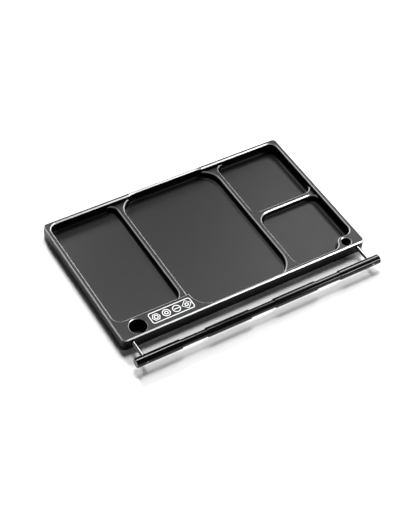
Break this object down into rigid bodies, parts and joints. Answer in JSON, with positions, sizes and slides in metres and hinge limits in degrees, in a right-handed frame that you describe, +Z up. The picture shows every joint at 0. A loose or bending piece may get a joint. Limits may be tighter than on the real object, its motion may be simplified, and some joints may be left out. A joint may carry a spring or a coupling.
{
  "type": "parts sorting tray",
  "caption": "Flat milled metal tray with shallow pockets for small parts, post sockets in its front corners and a stepped round rail on pins along its front edge.",
  "frame": {"origin": "middle of the plate's flat underside, which is the face that the tray rests on", "axes": "+Z up, +X along the plate's length to the right as seen from the rail side, -Y towards the rail at the front"},
  "size_m": [0.18, 0.1285, 0.01],
  "materials": {
    "anodised_plate": "satin black anodised, with bright cut edge bevels",
    "gloss_black_bar": "polished black anodised, turned",
    "steel_pin": "ground and polished",
    "black_screw": "black oxide"
  },
  "bodies": {
    "tray": {"tray_plate": "anodised_plate", "left_grub_screw": "black_screw", "right_grub_screw": "black_screw"},
    "rail": {"rail_bar": "gloss_black_bar", "left_rail_pin": "steel_pin", "right_rail_pin": "steel_pin"}
  },
  "joints": [
    {"name": "rail_slide", "type": "slide", "parent": "tray", "child": "rail", "axis": [0, -1, 0], "range_m": [0, 0.0085]}
  ]
}
